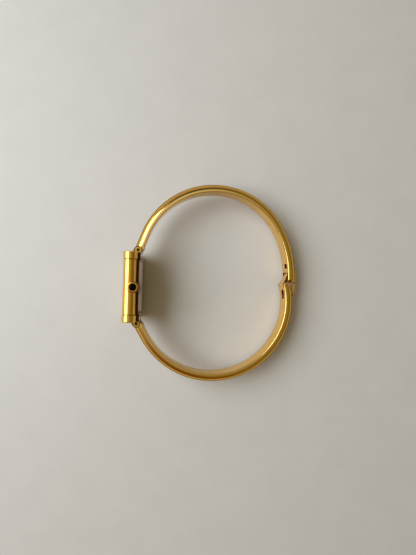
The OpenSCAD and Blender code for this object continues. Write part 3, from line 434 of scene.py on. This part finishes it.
def case_gold():
    """Polished gold, with dirt in its grooves, painted shade in the gap over the case back, stains
    round the pin ends and a painted highlight ring round each pin.
    """
    s = Shader("case_gold", Metallic=1.0)
    x, y, z = s.split(s.from_point(at(0, 0, 0)))
    y = s.math("ABSOLUTE", y)
    z = s.math("ABSOLUTE", z)
    # Painted shade in the gap between the bars and the case back
    gap_shade = s.product(s.rising(x, *GAP_X), s.rising(z, *GAP_Z_LOW), s.falling(z, *GAP_Z_HIGH))
    off_groove = s.math("ABSOLUTE", s.math("SUBTRACT", y, GROOVE_Y * MM))
    groove = s.product(s.falling(off_groove, *GROOVE_OFF, high=GROOVE_DIRT),
                       s.rising(z, *GROOVE_Z))
    dirt_and_shade = s.math("MAXIMUM", gap_shade, groove)
    reach = s.hypotenuse(x, s.math("SUBTRACT", y, PIN_Y * MM))
    facing = s.math("ABSOLUTE", s.split(s.node("NewGeometry").outputs["Normal"])[2])
    lug = s.product(s.spread(facing, 0, 1, *STAIN_FACING), s.falling(reach, *STAIN_REACH),
                    s.rising(y, *LUG_Y), s.falling(z, *LUG_Z))
    stain = s.patched(STAIN, STAIN_DARK, grain=500)
    rimmed = s.mixed(s.falling(reach, *RIM_REACH), stain, PIN_RIM)
    # The pale ring round each pin end is a painted highlight
    highlighted = s.mixed(s.falling(reach, *HIGHLIGHT_RING_REACH), rimmed, PIN_RING_HIGHLIGHT)
    clean = s.patched(GOLD, GOLD_WORN, SOFT)
    s.colour(s.mixed(dirt_and_shade, s.mixed(lug, clean, highlighted), CASE_DIRT_AND_SHADE))
    scratch = s.scratches(FINE)
    # Dirt, painted shade and stains add 1 to the noise of the scratches, so they are rougher
    rougher = s.math("ADD", scratch, s.math("MAXIMUM", dirt_and_shade, lug))
    s.roughness(s.spread(rougher, low=0.1, high=0.4, start=0.3, end=1.7))
    s.bump(scratch, depth=0.0004)
    return s.material


def glass():
    """Clear glass with faint smears."""
    s = Shader("crystal_glass", Base_Color=(0.97, 1.0, 0.99, 1), IOR=1.52, Transmission_Weight=1.0)
    s.roughness(s.spread(s.noise(160), low=0, high=0.03, start=0.45, end=0.8))
    return s.material


def onyx():
    """Polished black stone."""
    s = Shader("onyx", IOR=1.1)
    s.colour(s.patched((0.001, 0.001, 0.001), (0.003, 0.003, 0.004), grain=(900, 400, 900)))
    s.roughness(s.spread(s.noise(1500, detail=2), low=0.05, high=0.1))
    return s.material


def winding():
    """Copper wire in turns across Z."""
    s = Shader("copper_winding", Metallic=0.8, Roughness=0.35)
    turns = s.node("TexWave", wave_type="BANDS", bands_direction="Z")
    turns.inputs["Scale"].default_value = 1.0
    turns.inputs["Distortion"].default_value = 0.4
    s.link(s.scaled(3000), turns.inputs["Vector"])
    s.colour(s.mixed(turns.outputs["Fac"], (0.30, 0.09, 0.03), (0.75, 0.30, 0.12)))
    s.bump(turns.outputs["Fac"], depth=0.03)
    return s.material


STEEL = {"base": (0.42, 0.36, 0.29), "worn": (0.35, 0.30, 0.24)}
BRASS = {"base": (0.85, 0.60, 0.22), "worn": (0.75, 0.52, 0.20), "rough": 0.3,
         "grain": (2600, 400, 2600), "depth": 0.001}
METALS = {
    "gold_plate": {"base": GOLD, "worn": GOLD_WORN, "rough": 0.13},
    "marker_gold": {"base": GOLD, "worn": GOLD_WORN, "rough": 0.15, "grain": 2500},
    "hollow": {"base": (0.55, 0.16, 0.02), "worn": (0.45, 0.12, 0.015), "rough": 0.5,
               "depth": 0.002},
    "lug_gold": {"base": (0.82, 0.44, 0.08), "worn": (0.70, 0.36, 0.07), "rough": 0.3,
                 "depth": 0.003, "wear": 900},
    "steel": {**STEEL, "rough": 0.32, "grain": (2600, 60, 2600), "depth": 0.0015},
    "small_steel": {**STEEL, "rough": 0.25, "grain": (2400, 300, 2400), "depth": 0.001,
                    "wear": 500},
    # The pins are painted near black: painted shade for the dark holes they sit in
    "pin_steel": {"base": (0.035, 0.022, 0.015), "worn": (0.07, 0.05, 0.035), "rough": 0.45,
                  "grain": (1800, 1800, 900), "depth": 0.002, "wear": 1200},
    "movement_brass": BRASS,
    "motion_brass": BRASS,
}
PLASTICS = {
    "movement_plastic": {"base": (0.50, 0.44, 0.34), "second": (0.56, 0.50, 0.40), "rough": 0.5},
    "board": {"base": (0.03, 0.16, 0.07), "second": (0.05, 0.22, 0.09), "rough": 0.4},
    "chip": {"base": (0.015, 0.015, 0.017), "second": (0.03, 0.03, 0.03), "rough": 0.55},
    "gasket_rubber": {"base": (0.015, 0.015, 0.015), "second": (0.03, 0.03, 0.03), "rough": 0.7},
}
LACQUERS = {
    "dial_lacquer": {"base": (0.80, 0.75, 0.62), "second": (0.70, 0.64, 0.50), "rough": 0.3,
                     "sunray": True},
    "hand_black": {"base": (0.012, 0.012, 0.012), "second": (0.02, 0.02, 0.02), "rough": 0.2},
}
# Nodes that look different from their slot's plain finish
OWN_FINISH = {
    "case_middle": "case_gold",
    "case_tube": "lug_gold",
    "upper_hinge_block": "upper_gold",
    "upper_clasp_fork": "lug_gold",
    "lower_hinge_block": "lower_gold",
    "lower_clasp_block": "lug_gold",
    "clasp_tongue": "lower_lining",
    "upper_arm_liner": "upper_lining",
    "lower_arm_liner": "lower_lining",
    "circuit_board": "board",
    "control_chip": "chip",
}


def build_materials():
    made = {
        "upper_gold": arm_gold(UPPER),
        "lower_gold": arm_gold(LOWER),
        "upper_lining": lining_gold(UPPER),
        "lower_lining": lining_gold(LOWER),
        "crown_gold": crown_gold(),
        "case_gold": case_gold(),
        "crystal_glass": glass(),
        "onyx": onyx(),
        "copper_winding": winding(),
    }
    for build, kinds in ((metal, METALS), (plastic, PLASTICS), (lacquer, LACQUERS)):
        for name, look in kinds.items():
            made[name] = build(name, **look)
    return made


MATERIALS = build_materials()


def dress_nodes():
    """Gives each CAD node its own finish, or else that of its slot."""
    slots = {n["node"]: n["material_slot"] for n in frame["record"]["subparts"]}
    for name, node in NODES.items():
        finish = OWN_FINISH.get(name) or slots[name]
        node.data.materials.clear()
        node.data.materials.append(MATERIALS[finish])


# Meshes


def new_piece(name, points, faces, body, finish, sharp, replaced):
    """A mesh piece from points in millimetres, riding on a body in place of a CAD node.

    Edges that bend by more than sharp degrees stay crisp.
    """
    mesh = bpy.data.meshes.new(name)
    mesh.from_pydata([at(*p) for p in points], [], faces)
    mesh.polygons.foreach_set("use_smooth", [True] * len(mesh.polygons))
    mesh.set_sharp_from_angle(angle=math.radians(sharp))
    mesh.validate()
    piece = bpy.data.objects.new(name, mesh)
    bpy.context.scene.collection.objects.link(piece)
    mesh.materials.append(MATERIALS[finish])
    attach(piece, body)
    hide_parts(replaced)
    return piece


def loops_to_faces(count, ring):
    """Quads between count closed loops of ring points each."""
    return [(k * ring + i, k * ring + (i + 1) % ring, (k + 1) * ring + (i + 1) % ring,
             (k + 1) * ring + i) for k in range(count - 1) for i in range(ring)]


def polar(middle, r, a):
    return middle[0] + r * math.cos(a), middle[1] + r * math.sin(a)


def quarter(middle, radius, start, steps):
    """Points of a quarter circle that starts at the angle start in degrees."""
    return [polar(middle, radius, math.radians(start + 90 * i / steps)) for i in range(steps + 1)]


def lathe(profile, steps, cut=None):
    """Points and faces of a profile of (radius, height) turned about the crown's axis."""
    points = []
    for radius, z in profile:
        for i in range(steps):
            a = 2 * math.pi * i / steps
            points.append((*polar((CROWN_X, 0), cut(radius, a) if cut else radius, a), z))
    return points, loops_to_faces(len(profile), steps)


def dome(x, rise, half_w, steps):
    """A half dome a little fuller than an ellipse, from -half_w to half_w."""
    points = []
    for i in range(steps + 1):
        a = math.pi * i / steps - math.pi / 2
        side = math.copysign(abs(math.sin(a)) ** FULLNESS, math.sin(a))
        points.append((x + rise * max(math.cos(a), 0) ** FULLNESS, half_w * side))
    return points


def arm_section():
    """Outside and inside of the hollow shell as lists of (distance from the mid line, height)."""
    inner = -ARM_T / 2
    half = ARM_W / 2
    slot = half - SHELL_WALL
    low = quarter((inner + CORNER_R, CORNER_R - half), CORNER_R, 180, CORNER_STEPS)
    high = quarter((inner + CORNER_R, half - CORNER_R), CORNER_R, 90, CORNER_STEPS)
    crest = dome(inner + FINE_EDGE, ARM_T - FINE_EDGE - SKIN, half, DOME_STEPS)
    hollow = dome(inner + HOLLOW_EDGE, ARM_T - HOLLOW_EDGE - SHELL_WALL, slot, HOLLOW_STEPS)
    inside = [(inner, slot), (inner + LINER_T, slot)] + hollow[::-1]
    return low + crest + high, inside + [(inner + LINER_T, -slot), (inner, -slot)]


def arm_rings(arm):
    """Functions that turn a distance from the mid line into (x, y), from the pin to the clasp."""
    middle = arm["centre"]
    to_pin = (-middle[0], PIN_Y - middle[1])
    far = math.hypot(*to_pin)
    turn = math.atan2(arm["turn"][1], arm["turn"][0])
    start = math.atan2(to_pin[1], to_pin[0]) - math.acos(arm["long_r"] / far)
    join = start - turn
    neck = math.sqrt(far ** 2 - arm["long_r"] ** 2)
    last_middle = polar(middle, arm["long_r"] - arm["last_r"], join)

    def on_neck(back):
        def ring(off):
            x, y = polar(middle, arm["long_r"] + off, start)
            return x - back * math.sin(start), y + back * math.cos(start)
        return ring

    def on_long_arc(a):
        return lambda off: polar(middle, arm["long_r"] + off, a)

    def on_last_arc(share):
        def ring(off):
            reach = arm["last_r"] + off
            end = math.asin((arm["end"] - last_middle[1]) / reach)
            return polar(last_middle, reach, join + share * (end - join))
        return ring

    rings = [on_neck(neck - s) for s in (BLOCK_L, (BLOCK_L + neck) / 2)]
    rings += [on_long_arc(start + (join - start) * i / LONG_STEPS) for i in range(LONG_STEPS + 1)]
    rings += [on_last_arc(i / LAST_STEPS) for i in range(1, LAST_STEPS + 1)]
    return rings


def make_arm(arm):
    """The outer shell of an arm, with its hollow in a darker finish."""
    outside, inside = arm_section()
    section = outside + inside
    rings = arm_rings(arm)
    points = []
    for place in rings:
        for off, z in section:
            x, y = place(off)
            points.append((x, arm["side"] * y, z))
    ring = len(section)
    faces = loops_to_faces(len(rings), ring)
    hidden = [len(outside) <= i % ring < ring - 1 for i in range(len(faces))]
    faces.append(tuple(range(ring))[::-1])
    faces.append(tuple(range(len(points) - ring, len(points))))
    hidden += [False, False]
    if arm["side"] < 0:
        faces = [f[::-1] for f in faces]
    body = arm["name"] + "_arm"
    node = body + "_shell"
    finish = arm["name"] + "_gold"
    shell = new_piece("fine_" + node, points, faces, body, finish, sharp=30, replaced=node)
    shell.data.materials.append(MATERIALS["hollow"])
    shell.data.polygons.foreach_set("material_index", [int(h) for h in hidden])


def flute(radius, a):
    """Pulls the skirt of the crown in between its ribs."""
    if radius < CROWN_R - FLUTE_REACH:
        return radius
    return radius - FLUTE_DEPTH * (0.5 - 0.5 * math.cos(FLUTES * a)) ** FLUTE_POWER


def make_crown():
    """The fluted crown with its collar, and the domed stone in it."""
    top = CROWN_Z + CROWN_H
    rim = top + COLLAR_H
    profile = [(CROWN_R - inside, CROWN_Z + up) for inside, up in SKIRT]
    profile += quarter((CROWN_R - SHOULDER_IN, top - SHOULDER_ROUND), SHOULDER_ROUND, 0,
                       ROUND_STEPS)[1:]
    profile += [(COLLAR_R, top + COLLAR_FOOT), (COLLAR_R, rim - COLLAR_ROUND)]
    profile += quarter((COLLAR_R - COLLAR_ROUND, rim - COLLAR_ROUND), COLLAR_ROUND, 0,
                       ROUND_STEPS)[1:]
    profile += [(STONE_R + outside, rim + up) for outside, up in SEAT]
    points, faces = lathe(profile, CROWN_STEPS, flute)
    new_piece("fine_crown", points, faces, "crown", "crown_gold", sharp=40, replaced="crown")
    cap = [(STONE_R, top - STONE_FOOT)]
    for i in range(CAP_STEPS + 1):
        a = math.radians(90 * i / CAP_STEPS)
        radius = max(STONE_R * math.cos(a), STONE_TIP_R)
        cap.append((radius, rim - STONE_SUNK + STONE_DOME * math.sin(a)))
    points, faces = lathe(cap, STONE_STEPS)
    faces.append(tuple(range(len(points) - STONE_STEPS, len(points))))
    new_piece("cabochon", points, faces, "crown", "onyx", sharp=60, replaced="crown_stone")


# Floor, light and camera

# The table's tilt in degrees, a point that it passes through, and half its width in millimetres
FLOOR_TILT = 6.4
FLOOR_TOUCH = at(-2, 0, -10.3)
FLOOR_HALF = 1200
TABLE = (0.622, 0.630, 0.602)
TABLE_PALE = (0.651, 0.659, 0.630)
UPRIGHT = Matrix.Rotation(-math.radians(FLOOR_TILT), 3, "Y")


def make_floor():
    mesh = bpy.data.meshes.new("floor")
    half = FLOOR_HALF * MM
    corners = [(-half, -half, 0), (half, -half, 0), (half, half, 0), (-half, half, 0)]
    mesh.from_pydata(corners, [], [(0, 1, 2, 3)])
    floor = bpy.data.objects.new("floor", mesh)
    floor.matrix_world = Matrix.Translation(FLOOR_TOUCH) @ UPRIGHT.to_4x4()
    bpy.context.scene.collection.objects.link(floor)
    s = Shader("table", Roughness=0.55)
    s.colour(s.patched(TABLE, TABLE_PALE, grain=90, detail=5, rough=0.6))
    s.bump(s.noise(2500, detail=2), depth=0.01)
    # Seen from underneath, the table lets the view through
    below = s.product(s.node("NewGeometry").outputs["Backfacing"], s.seen_directly())
    clear = s.node("BsdfTransparent")
    s.shown(below, s.surface.outputs["BSDF"], clear.outputs["BSDF"], "Material Output")
    mesh.materials.append(s.material)


# Colour of the room by the cosine of the angle from straight up, on each side of the watch
ZENITH = (0.47, 0.41, 0.37)
HORIZON = (0.52, 0.48, 0.46)
ROOM_LEFT = [(0, (0.66, 0.62, 0.58)), (0.5, (0.82, 0.76, 0.74)), (0.93, (0.64, 0.56, 0.47)),
             (1, ZENITH)]
ROOM_RIGHT = [(0.22, HORIZON), (0.36, (0.12, 0.09, 0.02)), (0.6, (0.18, 0.135, 0.025)),
              (0.86, (0.26, 0.20, 0.05)), (0.97, (0.30, 0.26, 0.14)), (1, ZENITH)]
ROOM_TOP = [(0.1, HORIZON), (0.25, (0.38, 0.28, 0.29)), (0.6, (0.36, 0.27, 0.27)),
            (0.68, (0.03, 0.027, 0.01)), (0.87, (0.03, 0.027, 0.01)), (0.92, (0.62, 0.60, 0.50)),
            (0.975, (0.68, 0.66, 0.56)), (1, ZENITH)]
ROOM_BOTTOM = [(0.18, HORIZON), (0.3, (0.11, 0.035, 0.003)), (0.7, (0.17, 0.06, 0.004)),
               (0.93, (0.22, 0.13, 0.03)), (0.98, (0.42, 0.38, 0.29)), (1, ZENITH)]
# How narrow the bright left wall and the wide dark right wall are
LEFT_NARROW = 3.0
RIGHT_NARROW = 0.4
# Keeps the level distance above zero straight overhead
NEVER_ZERO = 0.0001


def make_world():
    world = bpy.data.worlds.new("room")
    bpy.context.scene.world = world
    s = Tree(world)
    x, y, z = s.split(s.node("TexCoord").outputs["Generated"])
    across = s.product(x, x)
    level = s.math("ADD", s.math("ADD", across, s.product(y, y)), NEVER_ZERO)
    on_left = s.product(s.math("LESS_THAN", x, 0), LEFT_NARROW - RIGHT_NARROW)
    narrow = s.math("ADD", on_left, RIGHT_NARROW)
    share = s.math("POWER", s.math("DIVIDE", across, level), narrow)
    sides = s.mixed(s.math("GREATER_THAN", x, 0), s.ramp(z, ROOM_LEFT), s.ramp(z, ROOM_RIGHT))
    ends = s.mixed(s.math("GREATER_THAN", y, 0), s.ramp(z, ROOM_BOTTOM), s.ramp(z, ROOM_TOP))
    room = s.tree.nodes["Background"]
    s.link(s.mixed(share, ends, sides), room.inputs["Color"])
    # Behind the table the view sees one plain wall
    wall = s.node("Background")
    wall.inputs["Color"].default_value = (*HORIZON, 1)
    s.shown(s.seen_directly(), room.outputs["Background"], wall.outputs["Background"],
            "World Output")


# The window: azimuth and angle from the table's upright in degrees, distance and size in metres
WINDOW_AZIMUTH = 163
WINDOW_ZENITH = 42
WINDOW_FAR = 0.42
WINDOW_W = 0.40
WINDOW_H = 0.36
WINDOW_RADIANCE = 3.6
WINDOW_COLOUR = (0.97, 1.0, 1.05)
LIT_POINT = at(10, 0, 0)


def make_window():
    """A panel of light that faces the watch."""
    a, t = math.radians(WINDOW_AZIMUTH), math.radians(WINDOW_ZENITH)
    way = UPRIGHT @ Vector((math.sin(t) * math.cos(a), math.sin(t) * math.sin(a), math.cos(t)))
    data = bpy.data.lights.new("window", "AREA")
    data.shape = "RECTANGLE"
    data.size = WINDOW_W
    data.size_y = WINDOW_H
    data.energy = WINDOW_RADIANCE * math.pi * WINDOW_W * WINDOW_H
    data.color = WINDOW_COLOUR
    light = bpy.data.objects.new("window", data)
    light.location = LIT_POINT + way * WINDOW_FAR
    side = Vector((-math.sin(a), math.cos(a), 0))
    axes = Matrix((side, way.cross(side), way)).transposed()
    light.rotation_mode = "QUATERNION"
    light.rotation_quaternion = axes.to_quaternion()
    light.visible_camera = False
    bpy.context.scene.collection.objects.link(light)


# The camera: focal length and image height in pixels, sensor in millimetres, nearest distance in
# metres, place, and the ways it looks and has to its right
FOCAL_PX = 417
IMAGE_H = 555
SENSOR = 36
NEAREST = 0.01
CAMERA_AT = at(6.83, 2.55, 132.8)
LOOK = Vector((0.1142, 0.0066, -0.9934))
RIGHT = Vector((0.9931, 0.0265, 0.1144))


def make_camera():
    data = bpy.data.cameras.new("camera")
    data.sensor_width = SENSOR
    data.lens = SENSOR * FOCAL_PX / IMAGE_H
    data.clip_start = NEAREST
    camera = bpy.data.objects.new("camera", data)
    back = -LOOK.normalized()
    up = back.cross(RIGHT).normalized()
    right = up.cross(back)
    axes = Matrix((right, up, back)).transposed()
    camera.matrix_world = Matrix.Translation(CAMERA_AT) @ axes.to_4x4()
    bpy.context.scene.collection.objects.link(camera)
    bpy.context.scene.camera = camera


dress_nodes()
make_arm(UPPER)
make_arm(LOWER)
make_crown()
make_floor()
make_world()
make_window()
make_camera()
bpy.context.scene.view_settings.view_transform = "Standard"
